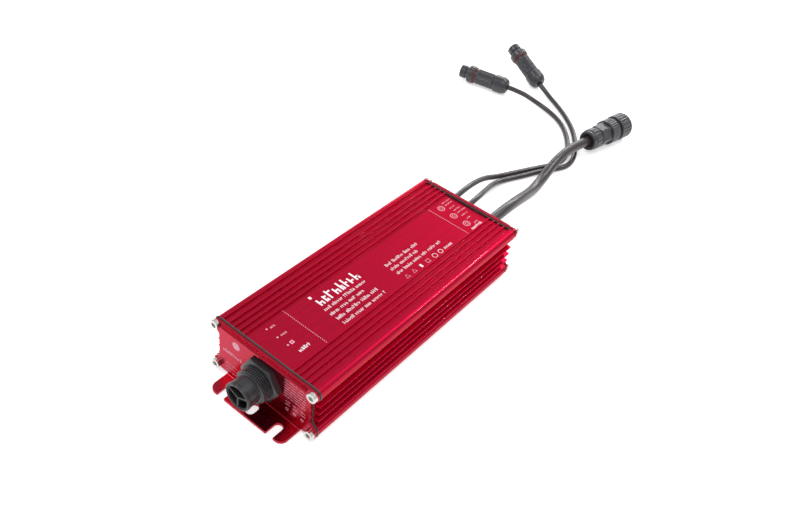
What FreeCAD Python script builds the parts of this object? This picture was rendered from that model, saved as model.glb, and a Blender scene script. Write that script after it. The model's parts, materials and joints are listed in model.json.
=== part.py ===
"""Sealed LED-lighting driver: a ribbed extrusion with bolted end plates, inlet, glands, leads and plugs.

Frame: X across the width, Y along the length with the mains inlet at -Y, Z up.  The origin lies on the
surface that the mounting feet stand on, midway between the two feet.  Millimetres throughout.
"""
import FreeCAD, Part
import math
import os
import re

import Sketcher

Vector = FreeCAD.Vector
Rotation = FreeCAD.Rotation
Placement = FreeCAD.Placement

DIMENSIONS = {
    # extrusion
    "housing_length": 214, "housing_width": 90, "housing_height": 43, "base_gap": 3,
    "corner_round": 3.7, "base_round": 1.6, "panel_recess": 1.5,
    "top_rib_first": 21.05, "top_rib_pitch": 4.55, "top_rib_width": 1.3, "corner_strip": 5.6,
    "wall_half": 40.3, "tower_upper": 36.5, "tower_lower": 5.0,
    "side_rib_first": 7.9, "side_rib_pitch": 6.64, "side_rib_root": 2.2, "side_rib_tip": 0.7,
    "side_rib_reach": 44.65, "cavity_half": 37.6, "floor_thick": 3, "ceiling_drop": 5.6, "cavity_round": 1.5,
    # end plates, gaskets and screws
    "gasket_thick": 1.2, "plate_thick": 2.2, "lobe_lower": 6.2, "lobe_upper": 37.0, "waist_half": 39.8,
    "gasket_proud": 0.35, "gasket_sunk": 0.45, "gasket_window": 3.0,
    "screw_inset": 3.3, "screw_clear": 2.2, "screw_bore": 1.65, "screw_radius": 1.9,
    "screw_head_radius": 3.55, "screw_head_thick": 2.7, "screw_socket": 1.75, "screw_socket_deep": 1.8,
    "screw_length": 14,
    "ledge_half": 36.5, "ledge_drop": 1.3, "ledge_thick": 1.35, "ledge_reach": 2.3,
    # mounting feet
    "foot_half": 32.6, "foot_reach": 16.2, "foot_round": 5.5, "bend_inner": 0.8,
    "side_slot_inner": 18.7, "side_slot_width": 6.35, "side_slot_end": 5.0,
    "mid_slot_width": 6.6, "mid_slot_length": 9.4, "mid_slot_centre": 9.3,
    # mains inlet
    "axis_height": 24.5, "inlet_thread": 12.2, "inlet_thread_root": 11.2, "thread_pitch": 1.5,
    "inlet_thread_end": 11.5, "inlet_nose": 10.5, "inlet_reach": 22, "inlet_bore": 9.1, "inlet_inside": 12,
    "inlet_flange": 15.5, "inlet_flange_thick": 3, "inlet_nut_flats": 29, "inlet_nut_thick": 4.7,
    "inlet_seal_thick": 1.5, "inlet_floor": 9, "chamber_recess": 5.2,
    "chamber_wall": 0.9, "insert_sunk": 0.4, "web_thick": 1.3, "pin_radius": 1.1,
    # cable glands
    "thin_radius": 2.45, "thick_radius": 4.5, "cable_fit": 0.1, "gland_reach": 13, "gland_inside": 4,
    "thin_gland_flats": 11.6, "thick_gland_flats": 20, "gland_flange_thick": 3.2,
    "thin_gland_shank": 4.4, "thick_gland_shank": 7.6, "thin_a_x": -26, "thin_b_x": -12, "thick_x": 12,
    # small control plugs
    "plug_length": 53.5, "plug_tip": 6.65, "plug_neck": 5.6, "plug_flange": 9.0, "plug_body": 7.85,
    "plug_ring": 8.6, "plug_nut": 8.85, "plug_nut_length": 15, "plug_mouth": 4.9,
    "plug_tip_length": 6.2, "plug_neck_length": 2.6, "plug_flange_length": 7, "plug_ring_seat": 1.8,
    "plug_ring_deep": 0.9, "plug_mouth_deep": 9, "plug_insert_length": 7, "plug_contact_circle": 2.5,
    "plug_contact_radius": 0.8, "plug_contact_deep": 6, "plug_stem_start": 8, "plug_stem_step": 1.2,
    "plug_rim": 2.4, "plug_rim_length": 1.6, "plug_taper": 1.4, "plug_taper_length": 4.2,
    # output plug
    "output_length": 57.0, "output_nut": 10.2, "output_nut_length": 12.6, "output_neck": 9.4,
    "output_body": 10.8, "output_collar": 12.0, "collar_start": 27.6, "collar_length": 11.3,
    "coupling_radius": 12.4, "coupling_bore": 10.6, "coupling_length": 15.1,
    "coupling_gap": 0.3, "coupling_wall": 2.5, "coupling_round": 0.8, "output_mouth": 7.2,
    "output_mouth_deep": 12, "output_contact_circle": 3.8,
    "output_contact_radius": 1.3, "output_contact_deep": 9.5, "output_nose": 9.0, "output_nose_back": 5.4,
    "output_stem": 7.4, "output_stem_start": 8.5, "output_cable_end": 12.2,
    "clamp_throat": 2.2, "clamp_lip": 2.8, "clamp_waist": 0.9,
    # electronics
    "board_thick": 1.6, "board_half": 35.2, "board_length": 200, "board_height": 6.2, "liner_thick": 0.5,
    "liner_half": 36.4, "liner_tall": 24, "post_inset_x": 4, "post_inset_y": 5, "post_radius": 3,
    "board_hole": 1.7,
    "fuse_x": -28, "fuse_y": -80, "fuse_side": 6, "fuse_length": 20,
    "varistor_x": -14, "varistor_y": -82, "varistor_radius": 6, "varistor_tall": 5,
    "filter_x": 18, "filter_y": -78, "filter_ring": 8.5, "filter_wire": 4.5,
    "film_x": -24, "film_y": -60, "film_pitch": 20, "film_width": 12, "film_length": 16, "film_tall": 15,
    "bridge_x": 10, "bridge_y": -54, "bridge_width": 24, "bridge_thick": 5, "bridge_tall": 16,
    "boost_x": 6, "boost_y": -30, "boost_ring": 10.5, "boost_wire": 6,
    "bulk_x": -22, "bulk_y": -8, "bulk_pitch": 21, "bulk_radius": 9, "bulk_tall": 27,
    "package_x": 29.4, "package_thick": 4.6, "package_width": 15, "package_tall": 18, "package_pitch": 18,
    "transistor_y": -44, "diode_y": 28,
    "spreader_x": 33.4, "spreader_y": -6, "spreader_thick": 3, "spreader_length": 110, "spreader_tall": 20,
    "pad_x": 35.4, "pad_thick": 0.9, "pad_length": 108, "pad_tall": 18,
    "can_x": -4, "can_y": 52, "can_pitch": 12, "can_radius": 5, "can_tall": 20,
    "chip_x": 14, "chip_y": 60, "chip_width": 10, "chip_length": 8, "chip_tall": 2,
    "terminal_x": 18, "terminal_y": 74, "terminal_pitch": 8, "terminal_width": 12, "terminal_length": 6,
    "terminal_tall": 10,
    "core_width": 36, "core_depth": 24, "core_tall": 26, "core_leg": 5, "core_post": 11,
    "core_yoke": 4, "core_fit": 0.2, "transformer_x": 8, "transformer_y": 22, "bobbin_wall": 1,
    "winding_overhang": 7,
}

doc = FreeCAD.newDocument("lighting_driver")
sheet = doc.addObject("Spreadsheet::Sheet", "dims")
SUB_PARTS = []


def fill_sheet():
    for row, (alias, size) in enumerate(DIMENSIONS.items(), start=1):
        sheet.set(f"A{row}", alias)
        sheet.set(f"B{row}", str(size))
        sheet.setAlias(f"B{row}", alias)
    doc.recompute()


def expression(text):
    """The text with each dimension's word written as a reference to its cell."""
    def cell(match):
        word = match.group()
        return f"dims.{word}" if word in DIMENSIONS else word
    return re.sub(r"[a-z_]+", cell, str(text))


def size_of(text):
    """The number that an expression over the sheet gives now."""
    return float(sheet.evalExpression(expression(text)))


def bind(item, **properties):
    for name, text in properties.items():
        item.setExpression(name, expression(text))


def move(item, x="0", y="0", z="0"):
    for axis, text in zip("xyz", (x, y, z)):
        item.setExpression(f"Placement.Base.{axis}", expression(text))


def keep(item, label):
    item.Label = label
    SUB_PARTS.append(item)
    return item


# ---------------------------------------------------------------- sketches and bodies

def new_body(label):
    return keep(doc.addObject("PartDesign::Body", label), label)


def new_sketch(body, plane, name):
    sketch = body.newObject("Sketcher::SketchObject", name)
    origin_plane = next(item for item in body.Origin.OriginFeatures if item.Role == plane)
    sketch.AttachmentSupport = [(origin_plane, "")]
    sketch.MapMode = "FlatFace"
    return sketch


def hold(sketch, kind, geometry, point, text):
    """Holds one coordinate of a sketch point at an expression over the sheet."""
    index = sketch.addConstraint(Sketcher.Constraint(kind, -1, 1, geometry, point, size_of(text)))
    name = f"{kind[-1].lower()}_{geometry}_{point}"
    sketch.renameConstraint(index, name)
    sketch.setExpression(f"Constraints.{name}", expression(text))


def draw_outline(sketch, corners):
    """A closed outline.  A corner is (x, y), or (x, y, centre_x) where an arc leads to the next corner."""
    spots = [Vector(size_of(corner[0]), size_of(corner[1]), 0) for corner in corners]
    ends = []
    for index, corner in enumerate(corners):
        start, finish = spots[index], spots[(index + 1) % len(spots)]
        if len(corner) == 2:
            geometry = sketch.addGeometry(Part.LineSegment(start, finish))
            ends.append((geometry, 1, 2))
            continue
        centre = arc_centre(start, finish, size_of(corner[2]))
        turn = (start - centre).cross(finish - centre).z
        first, last = (start, finish) if turn > 0 else (finish, start)
        angles = [math.atan2(spot.y - centre.y, spot.x - centre.x) for spot in (first, last)]
        circle = Part.Circle(centre, Vector(0, 0, 1), (start - centre).Length)
        geometry = sketch.addGeometry(Part.ArcOfCircle(circle, angles[0], angles[1]))
        ends.append((geometry, 1, 2) if turn > 0 else (geometry, 2, 1))
        hold(sketch, "DistanceX", geometry, 3, corner[2])
    for index, (geometry, start, _) in enumerate(ends):
        before, _, before_end = ends[index - 1]
        sketch.addConstraint(Sketcher.Constraint("Coincident", before, before_end, geometry, start))
        hold(sketch, "DistanceX", geometry, start, corners[index][0])
        hold(sketch, "DistanceY", geometry, start, corners[index][1])


def arc_centre(start, finish, centre_x):
    """The point at centre_x that is equally far from both ends."""
    middle = (start + finish) * 0.5
    chord = finish - start
    return Vector(centre_x, middle.y - (centre_x - middle.x) * chord.x / chord.y, 0)


def draw_circle(sketch, x, y, radius):
    circle = Part.Circle(Vector(size_of(x), size_of(y), 0), Vector(0, 0, 1), size_of(radius))
    geometry = sketch.addGeometry(circle)
    hold(sketch, "DistanceX", geometry, 3, x)
    hold(sketch, "DistanceY", geometry, 3, y)
    index = sketch.addConstraint(Sketcher.Constraint("Radius", geometry, size_of(radius)))
    sketch.renameConstraint(index, f"radius_{geometry}")
    sketch.setExpression(f"Constraints.radius_{geometry}", expression(radius))


def pad(body, sketch, length, symmetric=False):
    feature = body.newObject("PartDesign::Pad", f"{sketch.Name}_pad")
    feature.Profile = sketch
    feature.SideType = "Symmetric" if symmetric else "One side"
    bind(feature, Length=length)
    sketch.Visibility = False
    return feature


def pocket(body, sketch):
    """Cuts the sketch right through the body, both ways."""
    feature = body.newObject("PartDesign::Pocket", f"{sketch.Name}_pocket")
    feature.Profile = sketch
    feature.Type = "ThroughAll"
    feature.SideType = "Symmetric"
    return feature


def turned(label, corners):
    """A body turned about its Z axis; corners are (radius, height) pairs."""
    body = new_body(label)
    sketch = new_sketch(body, "XZ_Plane", f"{label}_section")
    draw_outline(sketch, corners)
    feature = body.newObject("PartDesign::Revolution", f"{label}_turn")
    feature.Profile = sketch
    feature.ReferenceAxis = (sketch, ["V_Axis"])
    feature.Angle = 360
    return body


def mirrored(half):
    """A right half, read from the top down, closed by its mirror image read back up."""
    other = []
    for index in range(len(half) - 1, -1, -1):
        x, y = half[index][:2]
        before = half[index - 1] if index > 0 else None
        flipped = (f"-({x})", y)
        if before is not None and len(before) == 3:
            flipped = (f"-({x})", y, f"-({before[2]})")
        other.append(flipped)
    return list(half) + other


# ---------------------------------------------------------------- extrusion, gaskets, end plates

EDGE = "housing_width / 2"
TOP = "base_gap + housing_height"


def height(text):
    """A height above the underside of the extrusion, in the shared frame."""
    return f"base_gap + {text}"


def top_rib_corners():
    corners = []
    floor = f"{TOP} - panel_recess"
    for rib in range(4):
        middle = f"top_rib_first + {rib} * top_rib_pitch"
        corners += [(f"{middle} - top_rib_width / 2", floor), (f"{middle} - top_rib_width / 2", TOP),
                    (f"{middle} + top_rib_width / 2", TOP), (f"{middle} + top_rib_width / 2", floor)]
    return corners


def side_rib_corners():
    """The four side ribs from the top one down; the lowest grows out of the lower slant."""
    corners = []
    for rib in (3, 2, 1, 0):
        middle = height(f"side_rib_first + {rib} * side_rib_pitch")
        corners += [("wall_half", f"{middle} + side_rib_root / 2"),
                    ("side_rib_reach", f"{middle} + side_rib_tip / 2"),
                    ("side_rib_reach", f"{middle} - side_rib_tip / 2")]
        if rib:
            corners.append(("wall_half", f"{middle} - side_rib_root / 2"))
        else:
            slant = "tower_lower + housing_width / 2 - side_rib_first + side_rib_root / 2"
            corners.append((f"{slant}", f"{middle} - side_rib_root / 2"))
    return corners


def extrusion_half():
    floor = f"{TOP} - panel_recess"
    strip = f"{EDGE} - corner_strip"
    half = top_rib_corners()
    half += [(strip, floor), (strip, TOP), (f"{EDGE} - corner_round", TOP, f"{EDGE} - corner_round"),
             (EDGE, f"{TOP} - corner_round"), (EDGE, height("tower_upper")),
             ("wall_half", height(f"tower_upper - ({EDGE} - wall_half)"))]
    half += side_rib_corners()
    half += [(EDGE, height("tower_lower")), (EDGE, height("base_round"), f"{EDGE} - base_round"),
             (f"{EDGE} - base_round", height("0"))]
    return half


def rounded_window(half_width, low, high, radius):
    inset = f"{half_width} - {radius}"
    half = [(inset, high, inset), (half_width, f"{high} - {radius}"),
            (half_width, f"{low} + {radius}", inset), (inset, low)]
    return mirrored(half)


def draw_screw_holes(sketch, radius):
    for side in (-1, 1):
        for level in ("screw_inset", "housing_height - screw_inset"):
            draw_circle(sketch, f"{side} * ({EDGE} - screw_inset)", height(level), radius)


def make_housing():
    body = new_body("housing")
    section = new_sketch(body, "XZ_Plane", "housing_section")
    draw_outline(section, mirrored(extrusion_half()))
    draw_outline(section, rounded_window("cavity_half", height("floor_thick"), f"{TOP} - ceiling_drop",
                                         "cavity_round"))
    draw_screw_holes(section, "screw_bore")
    pad(body, section, "housing_length")
    move(body, y="housing_length / 2")


def plate_half(grow):
    """Right half of the end outline: lobes round the screws, a narrower waist between them."""
    edge = f"({EDGE} + {grow})"
    waist = f"(waist_half + {grow})"
    top = f"{TOP} + {grow}"
    return [(f"{edge} - corner_round", top, f"{edge} - corner_round"), (edge, f"{top} - corner_round"),
            (edge, height("lobe_upper")), (waist, height(f"lobe_upper - ({EDGE} - waist_half)")),
            (waist, height(f"lobe_lower + ({EDGE} - waist_half)")), (edge, height("lobe_lower")),
            (edge, height("base_round"), f"{edge} - base_round"), (f"{edge} - base_round", height("0"))]


def make_gasket(label, near):
    body = new_body(label)
    section = new_sketch(body, "XZ_Plane", f"{label}_section")
    draw_outline(section, mirrored(plate_half("gasket_proud" if near else "-gasket_sunk")))
    draw_outline(section, rounded_window("(cavity_half - gasket_window)", height("floor_thick + 2"),
                                         f"{TOP} - ceiling_drop", "cavity_round"))
    draw_screw_holes(section, "screw_clear")
    pad(body, section, "gasket_thick")
    face_end(body, near, "housing_length / 2")


def face_end(item, near, distance):
    """Stands a piece on the front (near) or rear end, its local -Y pointing away from the housing."""
    item.Placement = Placement(Vector(0, 0, 0), Rotation(Vector(0, 0, 1), 0 if near else 180))
    sign = "-1" if near else "1"
    item.setExpression("Placement.Base.y", expression(f"{sign} * ({distance})"))


def make_end_plate(label, near):
    body = new_body(label)
    face = new_sketch(body, "XZ_Plane", f"{label}_face")
    draw_outline(face, mirrored(plate_half("0")))
    draw_screw_holes(face, "screw_clear")
    if near:
        draw_circle(face, "0", "axis_height", "inlet_thread + 0.15")
    else:
        draw_circle(face, "-(thick_x)", "axis_height", "thick_gland_shank + 0.1")
        draw_circle(face, "-(thin_a_x)", "axis_height", "thin_gland_shank + 0.1")
        draw_circle(face, "-(thin_b_x)", "axis_height", "thin_gland_shank + 0.1")
    pad(body, face, "plate_thick")
    add_bend(body, label)
    add_foot(body, label)
    add_ledge(body, label)
    face_end(body, near, "housing_length / 2 + gasket_thick")


def add_bend(body, label):
    """The quarter bend between the upright face and the foot."""
    section = new_sketch(body, "YZ_Plane", f"{label}_bend")
    turn = "-(plate_thick + bend_inner)"
    outer = "plate_thick + bend_inner"
    draw_outline(section, [("0", outer, turn), (turn, "0"), (turn, "plate_thick", turn),
                           ("-plate_thick", outer)])
    pad(body, section, "2 * foot_half", symmetric=True)


def add_foot(body, label):
    """The flat foot: rounded outer corners, two open slots and a closed slot on the centre line."""
    foot = new_sketch(body, "XY_Plane", f"{label}_foot")
    start = "-(plate_thick + bend_inner)"
    tip = "-(plate_thick + foot_reach)"
    slot_end = "-(plate_thick + side_slot_end + side_slot_width / 2)"
    slot_outer = "side_slot_inner + side_slot_width"
    slot_middle = "side_slot_inner + side_slot_width / 2"
    half = [("foot_half", start), ("foot_half", f"{tip} + foot_round", "foot_half - foot_round"),
            ("foot_half - foot_round", tip), (slot_outer, tip), (slot_outer, slot_end, slot_middle),
            (slot_middle, "-(plate_thick + side_slot_end)", slot_middle), ("side_slot_inner", slot_end),
            ("side_slot_inner", tip)]
    draw_outline(foot, mirrored(half))
    pad(body, foot, "plate_thick")
    slot = new_sketch(body, "XY_Plane", f"{label}_slot")
    middle = "-(plate_thick + mid_slot_centre)"
    run = "(mid_slot_length - mid_slot_width) / 2"
    half = [("0", f"{middle} + mid_slot_length / 2", "0"), ("mid_slot_width / 2", f"{middle} + {run}"),
            ("mid_slot_width / 2", f"{middle} - {run}", "0"), ("0", f"{middle} - mid_slot_length / 2", "0"),
            ("-(mid_slot_width / 2)", f"{middle} - {run}"),
            ("-(mid_slot_width / 2)", f"{middle} + {run}", "0")]
    draw_outline(slot, half)
    pocket(body, slot)


def add_ledge(body, label):
    """The lip along the top of the upright face."""
    section = new_sketch(body, "YZ_Plane", f"{label}_ledge")
    high = f"{TOP} - ledge_drop"
    out = "-(plate_thick + ledge_reach)"
    draw_outline(section, [("-(plate_thick / 2)", high), (out, high), (out, f"{high} - ledge_thick"),
                           ("-(plate_thick / 2)", f"{high} - ledge_thick")])
    pad(body, section, "2 * ledge_half", symmetric=True)


def cylinder(name, radius, length, x="0", y="0", z="0"):
    item = doc.addObject("Part::Cylinder", name)
    bind(item, Radius=radius, Height=length)
    move(item, x, y, z)
    return item


def prism(name, across_flats, length, z="0", sides=6):
    item = doc.addObject("Part::Prism", name)
    item.Polygon = sides
    bind(item, Circumradius=f"({across_flats}) / 2 / cos(180 / {sides})", Height=length)
    move(item, z=z)
    return item


def cut(base, tool, name):
    item = doc.addObject("Part::Cut", name)
    item.Base = base
    item.Tool = tool
    return item


def fuse(pieces, name):
    item = doc.addObject("Part::MultiFuse", name)
    item.Shapes = pieces
    return item


def group(pieces, label):
    item = doc.addObject("Part::Compound", label)
    item.Links = pieces
    return keep(item, label)


def point_along_y(item, near, x, y, z):
    """Turns a piece made along +Z so that it points out of the front (near) or rear end, and places it."""
    item.Placement = Placement(Vector(0, 0, 0), Rotation(Vector(1, 0, 0), 90 if near else -90))
    move(item, x, y, z)


def make_screws(label, near):
    sign = "-1" if near else "1"
    seat = f"{sign} * (housing_length / 2 + gasket_thick + plate_thick)"
    screws = []
    corners = [(side, level) for side in (-1, 1) for level in ("screw_inset", "housing_height - screw_inset")]
    for number, (side, level) in enumerate(corners):
        name = f"{label}_{number}"
        head = cylinder(f"{name}_head", "screw_head_radius", "screw_head_thick")
        shank = cylinder(f"{name}_shank", "screw_radius - 0.25", "screw_length + 0.1", z="-screw_length")
        socket = prism(f"{name}_socket", "2 * screw_socket", "screw_socket_deep + 1",
                       z="screw_head_thick - screw_socket_deep")
        screw = cut(fuse([head, shank], f"{name}_blank"), socket, name)
        point_along_y(screw, near, f"{side} * ({EDGE} - screw_inset)", seat, height(level))
        screws.append(screw)
    group(screws, label)


# ---------------------------------------------------------------- mains inlet

PLATE_FRONT = "-(housing_length / 2 + gasket_thick + plate_thick)"


def thread_corners(start, count):
    """A row of V-shaped turns up a barrel, seen in section."""
    corners = []
    for turn in range(count):
        low = f"{start} + {turn} * thread_pitch"
        corners += [("inlet_thread_root", f"{low}"), ("inlet_thread", f"{low} + thread_pitch * 0.45"),
                    ("inlet_thread", f"{low} + thread_pitch * 0.55")]
    return corners


def make_inlet():
    """Local Z runs out of the front plate; height 0 is the plate's outer face."""
    seat = "-(plate_thick + inlet_seal_thick)"
    corners = [("inlet_bore", "-inlet_inside"), ("inlet_flange - 2", "-inlet_inside"),
               ("inlet_flange - 2", f"{seat} - inlet_flange_thick"),
               ("inlet_flange", f"{seat} - inlet_flange_thick"), ("inlet_flange", seat),
               ("inlet_thread", seat), ("inlet_thread", "inlet_nut_thick")]
    corners += thread_corners("inlet_nut_thick + 0.2", 4)
    corners += [("inlet_thread_root", "inlet_thread_end"), ("inlet_nose", "inlet_thread_end + 0.6"),
                ("inlet_nose", "inlet_reach"), ("inlet_bore", "inlet_reach")]
    body = turned("inlet_body", corners)
    point_along_y(body, True, "0", PLATE_FRONT, "axis_height")

    nut_blank = prism("inlet_nut_blank", "inlet_nut_flats", "inlet_nut_thick")
    nut_hole = cylinder("inlet_nut_hole", "inlet_thread + 0.05", "inlet_nut_thick + 2", z="-1")
    nut = keep(cut(nut_blank, nut_hole, "inlet_nut"), "inlet_hex_nut")
    nut.Placement = Placement(Vector(0, 0, 0), Rotation(Vector(1, 0, 0), 90))
    move(nut, "0", PLATE_FRONT, "axis_height")

    seal = turned("inlet_seal", [("inlet_thread + 0.2", seat), ("inlet_flange - 0.4", seat),
                                 ("inlet_flange - 0.4", "-plate_thick"),
                                 ("inlet_thread + 0.2", "-plate_thick")])
    point_along_y(seal, True, "0", PLATE_FRONT, "axis_height")
    make_inlet_insert()


WEB_ANGLES = (25, 155, 270)
PIN_ANGLES = (90, 212.5, 327.5)


def make_inlet_insert():
    """The contact carrier: a plug with three chambers parted by a Y-shaped web, one pin standing in each."""
    blank = cylinder("insert_blank", "inlet_bore - 0.05", "inlet_reach - insert_sunk + inlet_inside",
                     z="-inlet_inside")
    depth = "inlet_reach - inlet_floor"
    chambers = cylinder("chamber_space", "inlet_bore - chamber_wall", depth, z="inlet_floor")
    webs = []
    for number in range(3):
        web = doc.addObject("Part::Box", f"web_{number}")
        bind(web, Length="inlet_bore", Width="web_thick", Height=depth)
        angle = math.radians(WEB_ANGLES[number])
        half = "web_thick / 2"
        web.Placement = Placement(Vector(0, 0, 0), Rotation(Vector(0, 0, 1), math.degrees(angle)))
        move(web, f"{half} * {math.sin(angle):.6f}", f"-({half}) * {math.cos(angle):.6f}", "inlet_floor")
        webs.append(web)
    hollow = cut(chambers, fuse(webs, "webs"), "chamber_cut")
    insert = keep(cut(blank, hollow, "inlet_insert_cut"), "inlet_insert")
    point_along_y(insert, True, "0", PLATE_FRONT, "axis_height")
    pins = []
    for number in range(3):
        angle = math.radians(PIN_ANGLES[number])
        pin = cylinder(f"inlet_pin_{number}", "pin_radius",
                       "inlet_reach - inlet_floor - chamber_recess - insert_sunk",
                       f"(inlet_bore / 2) * {math.cos(angle):.6f}",
                       f"(inlet_bore / 2) * {math.sin(angle):.6f}", "inlet_floor")
        pins.append(pin)
    point_along_y(group(pins, "inlet_pins"), True, "0", PLATE_FRONT, "axis_height")


# ---------------------------------------------------------------- cable glands

PLATE_REAR = "housing_length / 2 + gasket_thick + plate_thick"


def make_gland(label, x, cable, flats, shank):
    """A gland body screwed through the rear plate, and its domed nut.  Height 0 is the plate's outer face."""
    bore = f"{cable} + cable_fit"
    flange = prism(f"{label}_flange", flats, "gland_flange_thick")
    stem = cylinder(f"{label}_stem", f"{shank} - 0.05", "gland_inside + plate_thick + 1",
                    z="-(gland_inside + plate_thick)")
    through = cylinder(f"{label}_bore", bore, "gland_reach * 3", z="-gland_reach")
    body = keep(cut(fuse([flange, stem], f"{label}_blank"), through, f"{label}_body_cut"), f"{label}_body")
    point_along_y(body, False, x, PLATE_REAR, "axis_height")
    rim = f"{flats} / 2 - 0.2"
    nut = turned(f"{label}_nut", [(bore, "gland_flange_thick"), (rim, "gland_flange_thick"),
                                  (rim, "gland_reach - 4"), (f"{rim} - 0.6", "gland_reach - 2"),
                                  (f"{cable} + 1.6", "gland_reach"), (bore, "gland_reach")])
    point_along_y(nut, False, x, PLATE_REAR, "axis_height")


# ---------------------------------------------------------------- leads and plugs

FLOOR_Z = 2.5
THIN_A_ROUTE = [(-26, 106, 24.5), (-26, 131, 24.5), (-28.5, 154, 22.5), (-31.5, 175, 17), (-34, 195, 9.5),
                (-32, 212, 3.5), (-25.5, 229, FLOOR_Z), (-18, 246, FLOOR_Z), (-10, 262.5, FLOOR_Z),
                (-3.5, 278, FLOOR_Z), (-5, 294, FLOOR_Z), (-12.5, 310, FLOOR_Z), (-24, 327, FLOOR_Z),
                (-39, 342, FLOOR_Z), (-57, 351.5, FLOOR_Z), (-76, 354.6, 3.9), (-94.6, 351, 9),
                (-113.2, 347.3, 9)]
THIN_B_ROUTE = [(-12, 106, 24.5), (-12, 131, 24.5), (-14.5, 153, 22.5), (-19.5, 172, 15.5), (-24.5, 190, 8.5),
                (-26.5, 206, 3.5), (-23, 219, FLOOR_Z), (-16.5, 233, FLOOR_Z), (-10.5, 249, FLOOR_Z),
                (-2.5, 264, FLOOR_Z), (4.5, 279, FLOOR_Z), (2.5, 295, FLOOR_Z), (-5, 311, FLOOR_Z),
                (-13.5, 326, FLOOR_Z), (-25, 341, FLOOR_Z), (-40, 355, FLOOR_Z), (-57.5, 368, FLOOR_Z),
                (-78.1, 380.5, FLOOR_Z), (-96.8, 386.3, 9.1)]
THICK_ROUTE = [(12, 106, 24.5), (12, 133, 24.5), (11, 160, 23), (8.5, 186, 16.5), (5, 210, 8.5),
               (1.5, 232, 6), (-1, 253, 10.5), (-2.3, 272, 13), (-2.3, 290, 13), (-0.8, 305, 12.5),
               (3.4, 327.5, 12.4)]

PLUG_A_BACK = Vector(-109.3, 348.1, 9.0)
PLUG_A_WAY = Vector(-0.981, -0.196, 0)
PLUG_B_BACK = Vector(-91.4, 384.6, 7.2)
PLUG_B_WAY = Vector(-0.906, 0.277, 0.32)
OUTPUT_BACK = Vector(1.68, 317.7, 12.4)
OUTPUT_WAY = Vector(0.1723, 0.985, 0)


def cord_path(route):
    """Straight runs joined by tangent arcs, each as large as its two runs allow; also the arcs' radii."""
    points = [Vector(*spot) for spot in route]
    edges, radii = [], []
    start = points[0]
    for before, corner, after in zip(points, points[1:], points[2:]):
        run_in, run_out = corner - before, after - corner
        turn = run_in.getAngle(run_out)
        reach = 0.45 * min(run_in.Length, run_out.Length)
        radii.append(reach / math.tan(turn / 2))
        ways = [Vector(run_in).normalize(), Vector(run_out).normalize()]
        enter, leave = corner - ways[0] * reach, corner + ways[1] * reach
        inward = (ways[1] - ways[0]).normalize()
        middle = corner + inward * (radii[-1] / math.cos(turn / 2) - radii[-1])
        edges.append(Part.LineSegment(start, enter).toShape())
        edges.append(Part.Arc(enter, middle, leave).toShape())
        start = leave
    edges.append(Part.LineSegment(start, points[-1]).toShape())
    return Part.Wire(edges), radii


def make_lead(label, route, radius_word):
    radius = size_of(radius_word)
    path, radii = cord_path(route)
    first_run = Vector(*route[1]) - Vector(*route[0])
    section = Part.Wire(Part.makeCircle(radius, Vector(*route[0]), first_run))
    tube = path.makePipeShell([section], True, False)
    lead = doc.addObject("Part::Feature", label)
    lead.Shape = tube
    lead.Placement = Placement()
    keep(lead, label)
    expected = math.pi * radius ** 2 * path.Length
    tightest = min(radii) / radius / 2
    print(f"{label}: length {path.Length:.1f}, smallest radius {min(radii):.1f} or {tightest:.1f} diameters, "
          f"volume ratio {tube.Volume / expected:.4f}")


def lay_along(item, back, way):
    """Puts a plug piece, made along +Z from its cable end, on the line from back that runs along way."""
    item.Placement = Placement(back, Rotation(Vector(0, 0, 1), way))


def make_control_plug(label, back, way):
    """Heights run from the cable end of the gland nut to the tip."""
    bore = "thin_radius + cable_fit"
    stem = "plug_body - plug_stem_step"
    groove = "plug_body - plug_ring_deep"
    mouth_end = "plug_length - plug_mouth_deep"
    neck_top = "plug_length - plug_tip_length"
    flange_top = f"{neck_top} - plug_neck_length"
    seat_top = f"{flange_top} - plug_flange_length"
    seat_low = f"{seat_top} - plug_ring_seat"
    body = turned(f"{label}_body", [
        ("0", "plug_stem_start"), (stem, "plug_stem_start"), (stem, "plug_nut_length"),
        ("plug_body", "plug_nut_length"), ("plug_body", seat_low), (groove, seat_low), (groove, seat_top),
        ("plug_flange", seat_top), ("plug_flange", flange_top), ("plug_neck", flange_top),
        ("plug_neck", neck_top), ("plug_tip", neck_top), ("plug_tip", "plug_length"),
        ("plug_mouth", "plug_length"), ("plug_mouth", mouth_end), ("0", mouth_end)])
    nut = turned(f"{label}_nut", [
        (bore, "0"), ("thin_radius + plug_rim", "0"), ("plug_nut - plug_taper", "plug_rim_length"),
        ("plug_nut", "plug_taper_length"), ("plug_nut", "plug_nut_length"),
        (f"{stem} + cable_fit", "plug_nut_length"), (f"{stem} + cable_fit", "plug_stem_start - cable_fit"),
        (bore, "plug_stem_start - cable_fit")])
    inside = f"{groove} + cable_fit / 2"
    ring = turned(f"{label}_ring", [
        (inside, f"{seat_low} + cable_fit"), ("plug_ring", f"{seat_low} + 3 * cable_fit"),
        ("plug_ring", f"{seat_top} - 3 * cable_fit"), (inside, f"{seat_top} - cable_fit")])
    blank = cylinder(f"{label}_carrier", "plug_mouth - cable_fit / 2", "plug_insert_length", z=mouth_end)
    contacts = contact_holes(label, "plug_contact_radius", "plug_contact_circle",
                             "plug_length - plug_contact_deep")
    insert = keep(cut(blank, contacts, f"{label}_insert_cut"), f"{label}_insert")
    for item in (body, nut, ring, insert):
        lay_along(item, back, way)


def contact_holes(label, radius, circle, start):
    """Three round contact holes on a circle, open towards the tip, as one cutting tool."""
    holes = []
    for number in range(3):
        angle = math.radians(90 + 120 * number)
        holes.append(cylinder(f"{label}_hole_{number}", radius, "plug_mouth_deep",
                              f"({circle}) * {math.cos(angle):.6f}", f"({circle}) * {math.sin(angle):.6f}",
                              start))
    return fuse(holes, f"{label}_holes")


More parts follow.
